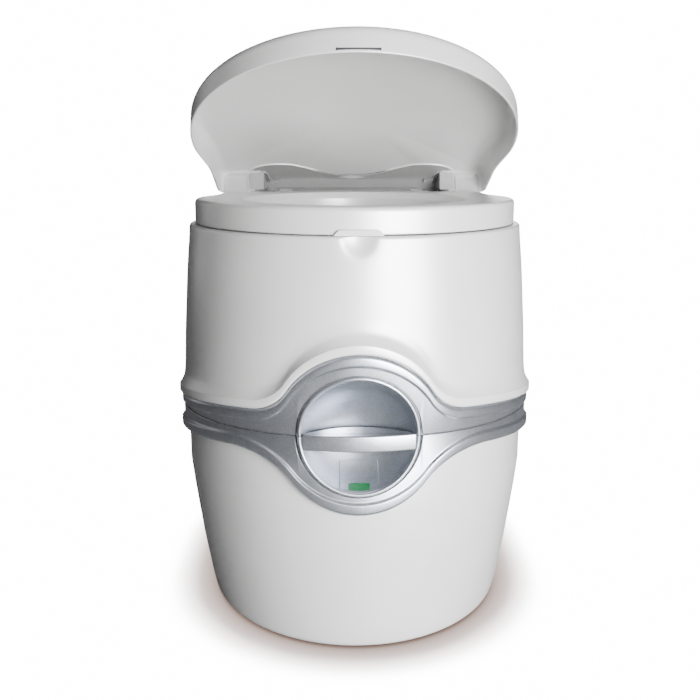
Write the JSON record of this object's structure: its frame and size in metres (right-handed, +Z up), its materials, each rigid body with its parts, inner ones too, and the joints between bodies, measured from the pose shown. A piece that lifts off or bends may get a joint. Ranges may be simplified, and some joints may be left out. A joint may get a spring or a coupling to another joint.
{
  "type": "portable camp toilet",
  "caption": "Free-standing two-tank camping toilet with a hinged seat and lid, a sliding outlet valve with a front pull, a piston pump, a water filler and a swivelling emptying spout.",
  "frame": {"origin": "on the floor, under the middle of the whole outline", "axes": "+Z up, -Y towards the front with the valve pull, +X to the right seen from the front"},
  "size_m": [0.388, 0.45, 0.5909],
  "materials": {
    "white_plastic": "glossy blow-moulded white plastic",
    "inner_white_plastic": "glossy moulded off-white plastic",
    "silver_plastic": "plastic with a satin silver-grey metallic coat",
    "dark_plastic": "matt dark grey moulded plastic",
    "green_plastic": "glossy translucent green plastic",
    "black_rubber": "soft matt black rubber",
    "steel": "plain bright steel"
  },
  "bodies": {
    "waste_tank": {"waste_tank_shell": "white_plastic", "lower_band": "silver_plastic", "lower_dish": "silver_plastic", "level_plate": "silver_plastic", "level_window": "green_plastic", "valve_base": "dark_plastic", "valve_cover": "dark_plastic", "valve_lip_seal": "black_rubber", "float_bracket": "dark_plastic", "spout_collar": "dark_plastic", "vent_collar": "dark_plastic", "latch_mount": "dark_plastic"},
    "valve": {"valve_blade": "inner_white_plastic", "valve_handle": "silver_plastic", "valve_rod": "steel"},
    "level_float": {"float_arm": "inner_white_plastic", "level_float": "inner_white_plastic"},
    "spout": {"pour_spout": "dark_plastic"},
    "spout_cap": {"spout_cap": "dark_plastic"},
    "vent": {"vent_button": "green_plastic"},
    "latch": {"tank_latch": "dark_plastic"},
    "flush_tank": {"flush_tank_shell": "white_plastic", "flush_tank_base": "inner_white_plastic", "upper_band": "silver_plastic", "upper_dish": "silver_plastic", "bowl": "inner_white_plastic", "flush_nozzle": "inner_white_plastic", "flush_pipe": "inner_white_plastic", "pump_cylinder": "dark_plastic", "filler_neck": "inner_white_plastic", "lid_catch_tab": "inner_white_plastic", "hinge_bracket_left": "inner_white_plastic", "hinge_bracket_right": "inner_white_plastic", "hinge_pin_left": "steel", "hinge_pin_right": "steel", "hinge_screw_1": "steel", "hinge_screw_2": "steel", "hinge_screw_3": "steel", "hinge_screw_4": "steel"},
    "pump": {"pump_piston": "dark_plastic", "pump_rod": "steel", "pump_knob": "silver_plastic"},
    "filler_cap": {"filler_cap": "silver_plastic"},
    "seat": {"seat": "white_plastic", "seat_bumper_1": "black_rubber", "seat_bumper_2": "black_rubber", "seat_bumper_3": "black_rubber", "seat_bumper_4": "black_rubber"},
    "lid": {"lid": "white_plastic"}
  },
  "joints": [
    {"name": "valve_pull", "type": "slide", "parent": "waste_tank", "child": "valve", "axis": [0, -1, 0], "range_m": [0, 0.092]},
    {"name": "float_swing", "type": "hinge", "parent": "waste_tank", "child": "level_float", "pos_m": [0, -0.14, 0.16], "axis": [1, 0, 0], "range_deg": [0, 18]},
    {"name": "spout_swing", "type": "hinge", "parent": "waste_tank", "child": "spout", "pos_m": [-0.088, 0.162, 0.086], "axis": [0, 0, 1], "range_deg": [0, 95]},
    {"name": "spout_cap_turn", "type": "hinge", "parent": "spout", "child": "spout_cap", "pos_m": [0.03, 0.162, 0.128], "axis": [1, 0, 0], "continuous": true},
    {"name": "vent_press", "type": "slide", "parent": "waste_tank", "child": "vent", "axis": [0, -1, 0], "range_m": [0, 0.004], "stiffness_N_per_m": 500, "springref_m": -0.002},
    {"name": "latch_flip", "type": "hinge", "parent": "waste_tank", "child": "latch", "pos_m": [0, 0.215, 0.1765], "axis": [-1, 0, 0], "range_deg": [0, 60]},
    {"name": "flush_tank_lift", "type": "slide", "parent": "waste_tank", "child": "flush_tank", "axis": [0, 0, 1], "range_m": [0, 0.06]},
    {"name": "pump_draw", "type": "slide", "parent": "flush_tank", "child": "pump", "axis": [0, 0, 1], "range_m": [0, 0.035]},
    {"name": "filler_cap_flip", "type": "hinge", "parent": "flush_tank", "child": "filler_cap", "pos_m": [0.1545, 0.155, 0.416], "axis": [0, 1, 0], "range_deg": [0, 100]},
    {"name": "seat_tip", "type": "hinge", "parent": "flush_tank", "child": "seat", "pos_m": [0, 0.181, 0.43], "axis": [-1, 0, 0], "range_deg": [0, 85]},
    {"name": "lid_tip", "type": "hinge", "parent": "seat", "child": "lid", "pos_m": [0, 0.181, 0.43], "axis": [-1, 0, 0], "range_deg": [-23.5, 76.5]}
  ]
}
